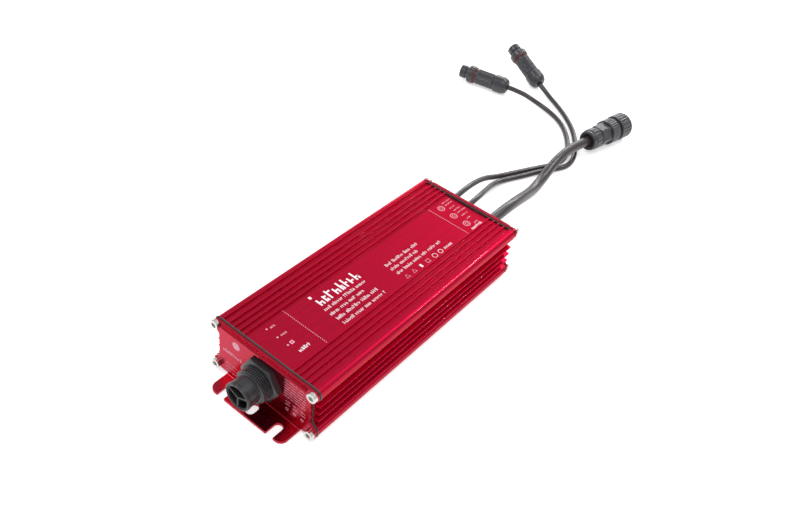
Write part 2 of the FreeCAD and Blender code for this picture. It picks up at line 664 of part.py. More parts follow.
def make_output_plug():
    """Heights run from the cable end of the clamp nut to the open front of the coupling ring."""
    bore = "thick_radius + cable_fit"
    seat = "output_length - coupling_length"
    seat_gap = f"{seat} - coupling_gap"
    collar_end = "collar_start + collar_length"
    collar_root = "output_body - 0.7"
    nose_end = "output_length - output_nose_back"
    mouth_end = "output_length - output_mouth_deep"
    waist = "output_nut - clamp_waist"
    stem_bore = "output_stem + cable_fit"
    nut = turned("output_plug_clamp_nut", [
        (bore, "3"), ("thick_radius + clamp_throat", "2"), ("thick_radius + clamp_lip", "0"),
        (waist, "0"), ("output_nut - clamp_waist / 2", "1"), (waist, "3.6"), ("output_nut", "5"),
        ("output_nut", "output_nut_length"), (stem_bore, "output_nut_length"),
        (stem_bore, "output_stem_start"), (bore, "output_stem_start")])
    body = turned("output_plug_body", [
        (bore, "output_stem_start + cable_fit"), ("output_stem", "output_stem_start + cable_fit"),
        ("output_stem", "output_nut_length"), ("output_neck", "output_nut_length"),
        ("output_neck", "output_nut_length + 0.8"), ("output_body", "output_nut_length + 1.2"),
        ("output_body", "collar_start - 0.8"), ("output_collar", "collar_start"),
        ("output_collar", collar_end), (collar_root, collar_end), (collar_root, seat_gap),
        ("output_nose", seat_gap), ("output_nose", nose_end), ("output_mouth", nose_end),
        ("output_mouth", mouth_end), ("0", mouth_end), ("0", "output_cable_end"), (bore, "output_cable_end")])
    eye = "output_nose + 3 * cable_fit"
    inner_seat = f"{seat} + coupling_wall"
    ring = turned("output_coupling_ring", [
        (eye, seat), ("coupling_radius - coupling_round", seat),
        ("coupling_radius", f"{seat} + coupling_round"), ("coupling_radius", "output_length - 1"),
        ("coupling_radius - 0.9", "output_length"), ("coupling_bore", "output_length"),
        ("coupling_bore", inner_seat), (eye, inner_seat)])
    carrier = cylinder("output_carrier", "output_mouth - cable_fit / 2", "output_nose_back",
                       z=f"{mouth_end} + cable_fit / 2")
    contacts = contact_holes("output", "output_contact_radius", "output_contact_circle",
                             "output_length - output_contact_deep")
    insert = keep(cut(carrier, contacts, "output_insert_cut"), "output_plug_insert")
    for item in (nut, body, ring, insert):
        lay_along(item, OUTPUT_BACK, OUTPUT_WAY)


# ---------------------------------------------------------------- electronics

BOARD_TOP = "base_gap + board_height + board_thick"
LINER_BASE = "base_gap + floor_thick + 0.1"


def block(label, width, length, tall, x, y, z=BOARD_TOP):
    """A box standing on the board, centred at (x, y)."""
    item = doc.addObject("Part::Box", label)
    bind(item, Length=width, Width=length, Height=tall)
    move(item, f"{x} - ({width}) / 2", f"{y} - ({length}) / 2", z)
    return item


def row_of_blocks(label, count, pitch, width, length, tall, x, y):
    blocks = [block(f"{label}_{number}", width, length, tall, x, f"{y} + {number} * {pitch}")
              for number in range(count)]
    group(blocks, label)


def row_of_cans(label, count, pitch, radius, tall, x, y):
    cans = [cylinder(f"{label}_{number}", radius, tall, x, f"{y} + {number} * {pitch}", BOARD_TOP)
            for number in range(count)]
    group(cans, label)


def make_liner():
    """A thin insulating tray that lies on the cavity floor and turns up along both side walls."""
    outer = block("liner_outer", "2 * liner_half", "board_length + 4", "liner_tall", "0", "0",
                  LINER_BASE)
    inner = block("liner_inner", "2 * (liner_half - liner_thick)", "board_length + 6", "liner_tall", "0", "0",
                  f"{LINER_BASE} + liner_thick")
    keep(cut(outer, inner, "liner_cut"), "insulating_liner")


def make_board():
    body = new_body("circuit_board")
    section = new_sketch(body, "XY_Plane", "board_outline")
    half_length = "board_length / 2"
    draw_outline(section, [("board_half", half_length), ("board_half", f"-{half_length}"),
                           ("-board_half", f"-{half_length}"), ("-board_half", half_length)])
    for side in (-1, 1):
        for end in (-1, 1):
            draw_circle(section, f"{side} * (board_half - post_inset_x)",
                        f"{end} * ({half_length} - post_inset_y)", "board_hole")
    pad(body, section, "board_thick")
    move(body, z="base_gap + board_height")
    posts = []
    for number in range(4):
        side, end = (-1, 1)[number % 2], (-1, 1)[number // 2]
        base = f"{LINER_BASE} + liner_thick"
        posts.append(cylinder(f"post_{number}", "post_radius", f"{BOARD_TOP} - board_thick - ({base})",
                              f"{side} * (board_half - post_inset_x)",
                              f"{end} * ({half_length} - post_inset_y)", base))
    group(posts, "board_standoffs")


def toroid(label, ring, wire, x, y):
    """A choke lying flat: a square ring core inside a torus-shaped coil, split into core and winding."""
    centre = f"{BOARD_TOP} + {wire} + 0.2"
    core = cut(cylinder(f"{label}_disc", f"{ring} + {wire} * 0.5", f"{wire}"),
               cylinder(f"{label}_eye", f"{ring} - {wire} * 0.5", f"{wire} + 2", z="-1"),
               f"{label}_core_ring")
    move(core, x, y, f"{centre} - {wire} * 0.5")
    keep(core, f"{label}_core")
    coil = doc.addObject("Part::Torus", f"{label}_coil")
    bind(coil, Radius1=ring, Radius2=wire)
    move(coil, x, y, centre)
    hole = doc.addObject("Part::Cut", f"{label}_winding_cut")
    core_space = cut(cylinder(f"{label}_space", f"{ring} + {wire} * 0.5 + 0.05", f"{wire} + 0.1"),
                     cylinder(f"{label}_space_eye", f"{ring} - {wire} * 0.5 - 0.05", f"{wire} + 2", z="-1"),
                     f"{label}_core_space")
    move(core_space, x, y, f"{centre} - {wire} * 0.5 - 0.05")
    hole.Base = coil
    hole.Tool = core_space
    keep(hole, f"{label}_winding")


def make_transformer():
    """An E-shaped core pair: a frame whose upright middle post stands inside the bobbin and the winding."""
    place = ("transformer_x", "transformer_y")
    window_low = f"{BOARD_TOP} + core_yoke"
    window_tall = "core_tall - 2 * core_yoke"
    coil_low = f"{window_low} + core_fit"
    coil_tall = f"{window_tall} - 2 * core_fit"
    outer = block("core_outer", "core_width", "core_depth", "core_tall", *place)
    window = block("core_window", "core_width - 2 * core_leg", "core_depth + 2", window_tall, *place,
                   window_low)
    post = block("core_middle", "core_post", "core_depth", f"{window_tall} + 2", *place, f"{window_low} - 1")
    keep(fuse([cut(outer, window, "core_frame"), post], "core_whole"), "transformer_core")
    bobbin_outer = block("bobbin_outer", "core_post + 2 * bobbin_wall", "core_depth + 2 * bobbin_wall",
                         coil_tall, *place, coil_low)
    bobbin_eye = block("bobbin_eye", "core_post + core_fit", "core_depth + core_fit", "core_tall", *place,
                       BOARD_TOP)
    keep(cut(bobbin_outer, bobbin_eye, "bobbin_tube"), "transformer_bobbin")
    winding_outer = block("winding_outer", "core_width - 2 * core_leg - 3 * core_fit",
                          "core_depth + 2 * winding_overhang", coil_tall, *place, coil_low)
    winding_eye = block("winding_eye", "core_post + 2 * bobbin_wall + core_fit",
                        "core_depth + 2 * bobbin_wall + core_fit", "core_tall", *place, BOARD_TOP)
    keep(cut(winding_outer, winding_eye, "winding_ring"), "transformer_winding")


def make_electronics():
    make_liner()
    make_board()
    keep(block("fuse", "fuse_side", "fuse_length", "fuse_side", "fuse_x", "fuse_y"), "mains_fuse")
    keep(cylinder("varistor_disc", "varistor_radius", "varistor_tall", "varistor_x", "varistor_y", BOARD_TOP),
         "varistor")
    toroid("filter_choke", "filter_ring", "filter_wire", "filter_x", "filter_y")
    row_of_blocks("film_capacitors", 2, "film_pitch", "film_width", "film_length", "film_tall", "film_x",
                  "film_y")
    keep(block("bridge", "bridge_width", "bridge_thick", "bridge_tall", "bridge_x", "bridge_y"),
         "bridge_rectifier")
    toroid("boost_choke", "boost_ring", "boost_wire", "boost_x", "boost_y")
    row_of_cans("bulk_capacitors", 3, "bulk_pitch", "bulk_radius", "bulk_tall", "bulk_x", "bulk_y")
    package = ("package_thick", "package_width", "package_tall", "package_x")
    row_of_blocks("power_transistors", 4, "package_pitch", *package, "transistor_y")
    row_of_blocks("output_diodes", 2, "package_pitch", *package, "diode_y")
    keep(block("spreader", "spreader_thick", "spreader_length", "spreader_tall", "spreader_x", "spreader_y"),
         "heat_spreader")
    keep(block("pad", "pad_thick", "pad_length", "pad_tall", "pad_x", "spreader_y"), "thermal_pad")
    make_transformer()
    row_of_cans("output_capacitors", 4, "can_pitch", "can_radius", "can_tall", "can_x", "can_y")
    keep(block("chip", "chip_width", "chip_length", "chip_tall", "chip_x", "chip_y"), "control_chip")
    row_of_blocks("output_terminals", 3, "terminal_pitch", "terminal_width", "terminal_length",
                  "terminal_tall", "terminal_x", "terminal_y")


# ---------------------------------------------------------------- building and writing

def check_and_write():
    doc.recompute()
    for item in doc.Objects:
        bad = [state for state in item.State if state in ("Invalid", "Error")]
        if bad:
            raise RuntimeError(f"{item.Name} ({item.Label}) is {bad}")
    labels = [item.Label for item in SUB_PARTS]
    if len(set(labels)) != len(labels) or len(labels) > 60:
        raise RuntimeError(f"labels repeat or are too many: {len(labels)}")
    os.makedirs("parts", exist_ok=True)
    for item in SUB_PARTS:
        if item.Shape.isNull() or not item.Shape.isValid() or not item.Shape.Solids:
            raise RuntimeError(f"{item.Label} has no valid solid")
    for item in SUB_PARTS:
        item.Shape.exportStep(os.path.join("parts", f"{item.Label}.step"))
    print(f"{len(labels)} nodes written")


fill_sheet()
make_housing()
for end_name, is_near in (("front", True), ("rear", False)):
    make_gasket(f"{end_name}_gasket", is_near)
    make_end_plate(f"{end_name}_end_plate", is_near)
    make_screws(f"{end_name}_screws", is_near)
make_inlet()
make_gland("control_gland_a", "thin_a_x", "thin_radius", "thin_gland_flats", "thin_gland_shank")
make_gland("control_gland_b", "thin_b_x", "thin_radius", "thin_gland_flats", "thin_gland_shank")
make_gland("output_gland", "thick_x", "thick_radius", "thick_gland_flats", "thick_gland_shank")
make_lead("control_lead_a", THIN_A_ROUTE, "thin_radius")
make_lead("control_lead_b", THIN_B_ROUTE, "thin_radius")
make_lead("output_lead", THICK_ROUTE, "thick_radius")
make_control_plug("control_plug_a", PLUG_A_BACK, PLUG_A_WAY)
make_control_plug("control_plug_b", PLUG_B_BACK, PLUG_B_WAY)
make_output_plug()
make_electronics()
check_and_write()
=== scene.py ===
"""The sealed lighting driver on a pale floor: its red extrusion, end plates, inlet, leads and plugs."""

import json
import math
import random

import bmesh
import bpy
from mathutils import Matrix, Vector


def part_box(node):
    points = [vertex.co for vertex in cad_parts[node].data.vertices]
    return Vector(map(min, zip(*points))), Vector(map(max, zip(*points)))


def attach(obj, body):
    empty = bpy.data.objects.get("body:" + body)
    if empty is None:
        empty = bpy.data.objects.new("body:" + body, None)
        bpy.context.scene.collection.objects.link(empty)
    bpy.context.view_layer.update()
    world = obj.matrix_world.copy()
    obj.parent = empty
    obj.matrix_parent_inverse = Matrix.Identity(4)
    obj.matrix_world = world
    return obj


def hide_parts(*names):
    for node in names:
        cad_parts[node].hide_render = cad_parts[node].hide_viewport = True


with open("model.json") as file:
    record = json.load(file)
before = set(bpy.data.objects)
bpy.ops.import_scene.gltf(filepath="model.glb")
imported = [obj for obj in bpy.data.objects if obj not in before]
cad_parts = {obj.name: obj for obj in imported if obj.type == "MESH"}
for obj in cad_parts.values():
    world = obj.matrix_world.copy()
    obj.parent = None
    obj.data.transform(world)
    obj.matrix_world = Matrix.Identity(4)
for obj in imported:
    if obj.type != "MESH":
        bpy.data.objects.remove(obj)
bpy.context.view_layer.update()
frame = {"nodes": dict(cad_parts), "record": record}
NODES = frame["nodes"]
RECORD = frame["record"]
MM = 0.001
TAU = 2 * math.pi
# Millimetres, like every length in the profiles and routes below; MM turns them into metres.
PANEL_DROP = 1.5
THIN_LEAD = 2.45
THICK_LEAD = 4.5
BORE_PLAY = 0.1


# ---------------------------------------------------------------- camera and light

def view_turn(azimuth, elevation, roll):
    """The turn of a camera that stands at this azimuth (from -Y towards +X) and elevation."""
    a, e = math.radians(azimuth), math.radians(elevation)
    back = Vector((math.sin(a) * math.cos(e), -math.cos(a) * math.cos(e), math.sin(e)))
    right = Vector((math.cos(a), math.sin(a), 0))
    up = back.cross(right)
    turn = Matrix((right, up, back)).transposed()
    return turn @ Matrix.Rotation(math.radians(roll), 3, "Z")


CAMERA_PLACE = Vector((236.1, -347.9, 427.5)) * MM
CAMERA_AZIMUTH, CAMERA_ELEVATION, CAMERA_ROLL = 32.31, 41.71, 9.52
LENS = 36.94
SENSOR = 36


def add_camera():
    data = bpy.data.cameras.new("camera")
    data.lens = LENS
    data.sensor_width = SENSOR
    data.clip_start = 0.01
    camera = bpy.data.objects.new("camera", data)
    bpy.context.scene.collection.objects.link(camera)
    turn = view_turn(CAMERA_AZIMUTH, CAMERA_ELEVATION, CAMERA_ROLL)
    camera.matrix_world = Matrix.Translation(CAMERA_PLACE) @ turn.to_4x4()
    bpy.context.scene.camera = camera


def add_softbox(name, place, target, width, height, watts):
    data = bpy.data.lights.new(name, "AREA")
    data.shape = "RECTANGLE"
    data.size = width
    data.size_y = height
    data.energy = watts
    light = bpy.data.objects.new(name, data)
    bpy.context.scene.collection.objects.link(light)
    way = Vector(target) - Vector(place)
    turn = way.to_track_quat("-Z", "Y").to_matrix()
    light.matrix_world = Matrix.Translation(place) @ turn.to_4x4()


WORLD_STRENGTH = 0.75


def add_world():
    world = bpy.data.worlds.new("studio")
    world.use_nodes = True
    background = world.node_tree.nodes["Background"]
    background.inputs["Color"].default_value = (1, 1, 1, 1)
    background.inputs["Strength"].default_value = WORLD_STRENGTH
    bpy.context.scene.world = world


add_camera()
add_world()
add_softbox("key", (-0.9, -0.5, 1.3), (0, 0, 0), 0.5, 0.5, 7)
add_softbox("overhead_right", (0.6, -0.5, 1.9), (0, 0, 0), 1.1, 1.1, 12)
add_softbox("strip_behind", (0.25, 1.15, 1.25), (0, 0.1, 0), 0.9, 0.03, 7)
add_softbox("low_behind", (-0.9, 2.0, 0.75), (0, 0.1, 0), 1.8, 0.35, 16)
bpy.context.scene.view_settings.view_transform = "Standard"


# ---------------------------------------------------------------- materials

def screen(red, green, blue):
    """A linear colour from the three values a screen shows, by the sRGB curve."""
    linear = []
    for value in (red, green, blue):
        share = value / 255
        linear.append(share / 12.92 if value < 10 else ((share + 0.055) / 1.055) ** 2.4)
    return tuple(linear)


RELIEF_DEPTH = 0.0002
RELIEF_FINENESS = 2.0


def paint(name, colour, roughness, metallic=0.0, grain=700, stretch=(1, 1, 1), mottle=0.08, bump=0.1,
          rough_spread=0.06, coat=0.0, coat_roughness=0.25, specular=0.5, edge=(1, 1, 1)):
    """A finish with a slight mottle in its colour, its roughness and its surface."""
    made = bpy.data.materials.new(name)
    made.use_nodes = True
    nodes = made.node_tree.nodes
    link = made.node_tree.links.new
    shader = nodes["Principled BSDF"]
    shader.inputs["Metallic"].default_value = metallic
    shader.inputs["Specular IOR Level"].default_value = specular
    shader.inputs["Specular Tint"].default_value = edge + (1,)
    shader.inputs["Coat Weight"].default_value = coat
    shader.inputs["Coat Roughness"].default_value = coat_roughness
    place = nodes.new("ShaderNodeTexCoord")
    mapping = nodes.new("ShaderNodeMapping")
    mapping.inputs["Scale"].default_value = stretch
    link(place.outputs["Object"], mapping.inputs["Vector"])
    noise = nodes.new("ShaderNodeTexNoise")
    noise.inputs["Scale"].default_value = grain
    noise.inputs["Detail"].default_value = 4
    link(mapping.outputs["Vector"], noise.inputs["Vector"])
    blend = nodes.new("ShaderNodeMix")
    blend.data_type = "RGBA"
    blend.inputs["A"].default_value = tuple(c * (1 - mottle) for c in colour) + (1,)
    blend.inputs["B"].default_value = tuple(min(1, c * (1 + mottle)) for c in colour) + (1,)
    link(noise.outputs["Fac"], blend.inputs["Factor"])
    link(blend.outputs["Result"], shader.inputs["Base Color"])
    spread = nodes.new("ShaderNodeMapRange")
    spread.inputs["To Min"].default_value = max(0.02, roughness - rough_spread)
    spread.inputs["To Max"].default_value = min(1, roughness + rough_spread)
    link(noise.outputs["Fac"], spread.inputs["Value"])
    link(spread.outputs["Result"], shader.inputs["Roughness"])
    surface = nodes.new("ShaderNodeTexNoise")
    surface.inputs["Scale"].default_value = grain * RELIEF_FINENESS
    surface.inputs["Detail"].default_value = 3
    link(mapping.outputs["Vector"], surface.inputs["Vector"])
    relief = nodes.new("ShaderNodeBump")
    relief.inputs["Strength"].default_value = bump
    relief.inputs["Distance"].default_value = RELIEF_DEPTH
    link(surface.outputs["Fac"], relief.inputs["Height"])
    link(relief.outputs["Normal"], shader.inputs["Normal"])
    return made


EXTRUDED_RED = paint("extruded_red", screen(172, 6, 46), 0.38, metallic=1.0, grain=900, stretch=(1, 0.012, 1),
                     mottle=0.2, bump=0.2, rough_spread=0.05, coat=0.22, coat_roughness=0.07,
                     edge=(1, 0.35, 0.45))
SHEET_RED = paint("sheet_red", screen(168, 15, 47), 0.27, metallic=1.0, grain=900, mottle=0.05, bump=0.03,
                  coat=0.3, coat_roughness=0.2, edge=(1, 0.6, 0.65))
RUBBER = paint("rubber", screen(40, 40, 37), 0.42, grain=900, stretch=(0.25, 1, 0.25), mottle=0.8, bump=0.7,
               rough_spread=0.2)
STEEL = paint("steel", screen(205, 203, 200), 0.24, metallic=1.0, grain=1500, bump=0.05)
NYLON = paint("nylon", screen(38, 38, 41), 0.33, grain=1600, bump=0.22, rough_spread=0.08)
PLUG_GREY = paint("plug_grey", screen(48, 46, 52), 0.3, grain=1500, mottle=0.2, bump=0.2, rough_spread=0.1)
JACKET = paint("jacket", screen(47, 40, 43), 0.3, grain=900, mottle=0.12, bump=0.04, rough_spread=0.04)
ORANGE = paint("orange", screen(122, 44, 28), 0.45, grain=900)
CARRIER = paint("carrier", screen(22, 22, 24), 0.5, grain=1200, bump=0.15)
PLATED = paint("plated", screen(214, 190, 130), 0.3, metallic=1.0, grain=1200)
INK = paint("ink", screen(232, 214, 222), 0.6, grain=1500, mottle=0.04)
FAINT_INK = paint("faint_ink", screen(214, 148, 164), 0.6, grain=1500, mottle=0.1)
LAMINATE = paint("laminate", screen(38, 110, 62), 0.4, grain=500)
FILM = paint("film", screen(96, 96, 96), 0.5, grain=400)
FERRITE = paint("ferrite", screen(78, 78, 80), 0.7, grain=800, bump=0.3)
COPPER = paint("copper", screen(190, 104, 52), 0.35, metallic=0.9, grain=400, stretch=(1, 8, 1), bump=0.5)
MOULDED = paint("moulded", screen(224, 218, 202), 0.5, grain=600)
SLEEVE = paint("sleeve", screen(42, 50, 66), 0.3, grain=400)
BOXED_FILM = paint("boxed_film", screen(214, 184, 88), 0.35, grain=500)
EPOXY = paint("epoxy", screen(52, 52, 52), 0.55, grain=900, bump=0.2)
MILL = paint("mill", screen(212, 212, 214), 0.32, metallic=1.0, grain=700, stretch=(1, 0.05, 1), bump=0.15)
GAP_PAD = paint("gap_pad", screen(190, 194, 200), 0.8, grain=600)
DISC = paint("disc", screen(70, 112, 170), 0.35, grain=700)
GLAZE = paint("glaze", screen(232, 230, 222), 0.2, grain=300)


# ---------------------------------------------------------------- meshes

def add_mesh(name, points, faces, material, sharp=38):
    mesh = bpy.data.meshes.new(name)
    mesh.from_pydata([tuple(p) for p in points], [], faces)
    shape = bmesh.new()
    shape.from_mesh(mesh)
    bmesh.ops.remove_doubles(shape, verts=shape.verts, dist=1e-7)
    bmesh.ops.recalc_face_normals(shape, faces=shape.faces)
    shape.to_mesh(mesh)
    shape.free()
    mesh.shade_smooth()
    mesh.set_sharp_from_angle(angle=math.radians(sharp))
    mesh.materials.append(material)
    item = bpy.data.objects.new(name, mesh)
    bpy.context.scene.collection.objects.link(item)
    return item


def hand_over(item, nodes, body="driver"):
    """The piece rides its body and stands for its nodes, which are hidden."""
    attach(item, body)
    if nodes:
        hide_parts(*nodes)


EDGE_ANGLE = math.radians(30)
FLAT_ANGLE = math.radians(0.6)


def softened_copy(node, width, material, segments=2, shift=None):
    """A copy of a node with its edges rounded off."""
    source = NODES[node]
    shape = bmesh.new()
    shape.from_mesh(source.data)
    bmesh.ops.remove_doubles(shape, verts=shape.verts, dist=2e-6)
    bmesh.ops.dissolve_limit(shape, angle_limit=FLAT_ANGLE, verts=shape.verts, edges=shape.edges)
    mesh = bpy.data.meshes.new(f"{node}_finished")
    shape.to_mesh(mesh)
    shape.free()
    if shift:
        for vertex in mesh.vertices:
            vertex.co += shift(vertex.co)
    mesh.materials.clear()
    mesh.materials.append(material)
    mesh.shade_smooth()
    item = bpy.data.objects.new(f"{node}_finished", mesh)
    bpy.context.scene.collection.objects.link(item)
    bevel = item.modifiers.new("edges", "BEVEL")
    bevel.width = width
    bevel.segments = segments
    bevel.limit_method = "ANGLE"
    bevel.angle_limit = EDGE_ANGLE
    bevel.harden_normals = False
    bevel.use_clamp_overlap = True
    normals = item.modifiers.new("normals", "WEIGHTED_NORMAL")
    normals.keep_sharp = True
    hand_over(item, [node])


def rounded(profile, default):
    """The closed (radius, height) profile in metres, each corner eased by default or its third number."""
    result = []
    count = len(profile)
    for index, corner in enumerate(profile):
        here = Vector(corner[:2])
        to_before = Vector(profile[index - 1][:2]) - here
        to_after = Vector(profile[(index + 1) % count][:2]) - here
        size = corner[2] if len(corner) == 3 else default
        reach = min(size, 0.45 * to_before.length, 0.45 * to_after.length)
        if reach < 1e-3 or here.x < 1e-3:
            result.append(here * MM)
            continue
        first = here + to_before.normalized() * reach
        last = here + to_after.normalized() * reach
        for step in range(5):
            t = step / 4
            result.append((first * (1 - t) ** 2 + here * 2 * t * (1 - t) + last * t ** 2) * MM)
    return result


def divided(profile, step):
    """The closed profile with its long runs cut into pieces no longer than step."""
    result = []
    for index, here in enumerate(profile):
        after = profile[(index + 1) % len(profile)]
        pieces = max(1, math.ceil((after - here).length / step))
        result += [here.lerp(after, piece / pieces) for piece in range(pieces)]
    return result


def lathe(name, profile, place, material, segments=96, shape=None, ease=0.35, step=None, sharp=38):
    """A turned piece in mm about the place's Z axis; shape(angle, radius, height) gives the radius there."""
    line = rounded(profile, ease)
    if step:
        line = divided(line, step * MM)
    points, faces = [], []
    for row, spot in enumerate(line):
        for column in range(segments):
            angle = TAU * column / segments
            radius = spot.x
            if shape and radius > 1e-4:
                radius = shape(angle, spot.x / MM, spot.y / MM) * MM
            points.append(place @ Vector((radius * math.cos(angle), radius * math.sin(angle), spot.y)))
            after_row, after_column = (row + 1) % len(line), (column + 1) % segments
            faces.append((row * segments + column, row * segments + after_column,
                          after_row * segments + after_column, after_row * segments + column))
    return add_mesh(name, points, faces, material, sharp)


def hexagon(angle, apothem, corner=None):
    """The radius of a hexagon with a corner at angle 0, at this angle; corner rounds its corners off."""
    radius = apothem / math.cos((angle % (TAU / 6)) - TAU / 12)
    return min(radius, corner) if corner else radius


def ridge(value, sharpness=1.0):
    """A wave from 0 to 1, flatter on top as sharpness falls below 1."""
    return (0.5 + 0.5 * math.cos(value)) ** sharpness


def fade(height, low, high, rise, fall):
    """0 at the ends of a band of heights and 1 inside it, with slopes this long at each end."""
    return min(1, (height - low) / rise, (high - height) / fall)


def standing(place, way, across=None):
    """A frame whose Z runs along way, with X as near as it can be to across."""
    z = Vector(way).normalized()
    x = Vector(across) if across else Vector((0, 0, 1)).cross(z)
    x = (x - z * x.dot(z)).normalized()
    turn = Matrix((x, z.cross(x), z)).transposed()
    return Matrix.Translation(place) @ turn.to_4x4()


# ---------------------------------------------------------------- extrusion, gaskets, plates, screws

GASKET_MIDDLE = 0.0245
GASKET_HALF_WIDTH = 0.0453
GASKET_HALF_HEIGHT = 0.0217


def wavy(co):
    """The gasket's soft edge, squeezed out unevenly between the plate and the extrusion."""
    bulge = 0.10 * math.sin(co.x * 310 + co.z * 170) + 0.08 * math.sin(co.z * 620 - co.x * 240)
    outward = Vector((co.x, 0, co.z - GASKET_MIDDLE))
    edge = max(abs(co.x) / GASKET_HALF_WIDTH, abs(co.z - GASKET_MIDDLE) / GASKET_HALF_HEIGHT)
    return outward.normalized() * bulge * MM if edge > 0.9 else Vector()


softened_copy("housing", 0.00028, EXTRUDED_RED)
softened_copy("front_end_plate", 0.0003, SHEET_RED)
softened_copy("rear_end_plate", 0.0003, SHEET_RED)
softened_copy("front_gasket", 0.0003, RUBBER, shift=wavy)
softened_copy("rear_gasket", 0.0003, RUBBER, shift=wavy)
softened_copy("front_screws", 0.0006, STEEL, segments=3)
softened_copy("rear_screws", 0.0006, STEEL, segments=3)


# ---------------------------------------------------------------- mains inlet

nut_low, nut_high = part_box("inlet_hex_nut")
PLATE_FRONT = nut_high.y
AXIS = Vector(((nut_low.x + nut_high.x) / 2, PLATE_FRONT, (nut_low.z + nut_high.z) / 2))
INLET = standing(AXIS, (0, -1, 0), (1, 0, 0))
INLET_REACH = (PLATE_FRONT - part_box("inlet_body")[0].y) / MM
NUT_THICK = (PLATE_FRONT - nut_low.y) / MM
NUT_APOTHEM = (nut_high.z - nut_low.z) / 2 / MM
THREAD_END = 11.6
THREAD_ROOT = 11.15
THREAD_CREST = 12.2
THREAD_PITCH = 1.5


def turn_of(angle, centre, half):
    """How far an angle lies inside the sector round centre: over 0 inside, in degrees."""
    gap = (math.degrees(angle) - centre + 180) % 360 - 180
    return half - abs(gap)


def step_up(value, soft):
    """0 below -soft, 1 above +soft."""
    return min(1, max(0, 0.5 + value / (2 * soft)))


def nose_shape(angle, radius, height):
    """A raised key on the upper left, a thin slit beside it and a short groove on the right."""
    if radius < 9.6 or height < 12:
        return radius
    key = step_up(turn_of(angle, 138, 34), 1.2)
    slit = step_up(turn_of(angle, 103, 2.2), 0.8)
    groove = step_up(turn_of(angle, 8, 3.2), 0.8) * step_up(18.6 - height, 0.4)
    return radius - 0.45 + 0.45 * key - 0.35 * slit - 0.7 * groove


def thread_shape(angle, radius, height):
    """A helical thread between the nut and the nose."""
    if radius < 10.9 or not NUT_THICK + 0.1 < height < THREAD_END:
        return radius
    turn = (height / THREAD_PITCH - angle / TAU) % 1
    crest = min(1, max(0, 1.9 - 3.8 * abs(turn - 0.5)))
    return THREAD_ROOT + (THREAD_CREST - THREAD_ROOT) * crest * fade(height, NUT_THICK, THREAD_END, 0.5, 0.7)


def make_inlet():
    inside = (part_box("inlet_body")[1].y - PLATE_FRONT) / MM
    flange = (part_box("inlet_body")[1].z - AXIS.z) / MM
    front = INLET_REACH
    nose = lathe("inlet_nose", [
        (9.1, -inside), (flange - 2, -inside), (flange - 2, -6.7), (flange, -6.7), (flange, -3.7),
        (THREAD_CREST, -3.7), (THREAD_CREST, NUT_THICK), (THREAD_ROOT, NUT_THICK + 0.1),
        (THREAD_ROOT, THREAD_END), (10.1, THREAD_END + 0.3),
        (10.1, front - 2.6), (10.5, front - 2.0), (10.5, front, 0.6), (9.1, front, 0.3)],
        INLET, NYLON, 180, nose_shape, 0.3, 0.6, 34)
    thread = lathe("inlet_thread", [
        (10.9, NUT_THICK), (11.2, NUT_THICK), (11.2, 11.55), (10.9, 11.55)], INLET, NYLON, 144, thread_shape,
        0.01, 0.1, 60)
    hand_over(nose, ["inlet_body"])
    hand_over(thread, [])
    cone = NUT_APOTHEM / math.cos(math.radians(30))
    nut = lathe("inlet_hex_nut_finished", [
        (12.25, 0), (cone + 0.2, 0), (cone + 0.2, 3.3, 0.1), (NUT_APOTHEM - 0.9, NUT_THICK, 0.2),
        (12.25, NUT_THICK, 0.2)], INLET, NYLON, 192,
        lambda angle, radius, height: min(radius, hexagon(angle, NUT_APOTHEM, cone - 0.25)), 0.2, 0.3, 24)
    hand_over(nut, ["inlet_hex_nut"])
    softened_copy("inlet_insert", 0.00015, CARRIER)


make_inlet()


# ---------------------------------------------------------------- glands

def make_gland(label):
    """The hexagon against the rear plate and the domed, ribbed nut on it."""
    low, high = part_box(f"{label}_body")
    nut_low, nut_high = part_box(f"{label}_nut")
    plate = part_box("rear_gasket")[1].y + PLATE_THICK
    centre = Vector(((low.x + high.x) / 2, plate, (low.z + high.z) / 2))
    place = standing(centre, (0, 1, 0), (1, 0, 0))
    apothem = (high.z - low.z) / 2 / MM
    thick = (nut_low.y - plate) / MM
    reach = (nut_high.y - plate) / MM
    rim = (nut_high.z - nut_low.z) / 2 / MM
    is_thick = apothem > 8
    bore = THICK_LEAD + BORE_PLAY if is_thick else THIN_LEAD + BORE_PLAY
    cone = apothem / math.cos(math.radians(30))
    body = lathe(f"{label}_hexagon", [
        (bore, -6), (rim - 1.6, -6), (rim - 1.6, 0), (cone, 0), (cone, thick - 0.8), (apothem, thick),
        (bore, thick)], place, NYLON, 96,
        lambda angle, radius, height: min(radius, hexagon(angle, apothem)), 0.2, 0.5, 24)
    hand_over(body, [f"{label}_body"])
    lobes = 12 if is_thick else 8

    def dome_shape(angle, radius, height):
        on_grip = height < reach - 4.5 and radius > rim - 1
        return radius - 0.35 * ridge(lobes * angle, 3) if on_grip else radius

    nut = lathe(f"{label}_dome", [
        (bore, thick), (rim, thick), (rim, reach - 4, 1.2), (rim - 0.9, reach - 2, 1.5),
        (bore + 1.5, reach, 0.8), (bore, reach, 0.2)], place, NYLON, 120, dome_shape, 0.5, 0.7, 50)
    hand_over(nut, [f"{label}_nut"])


PLATE_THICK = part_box("front_gasket")[0].y - PLATE_FRONT
for gland in ("control_gland_a", "control_gland_b", "output_gland"):
    make_gland(gland)


# ---------------------------------------------------------------- leads and plugs

def mount(name):
    found = next(m for m in RECORD["mounts"] if m["name"] == name)
    return Vector(found["pos_m"]), Vector(found["axis"])


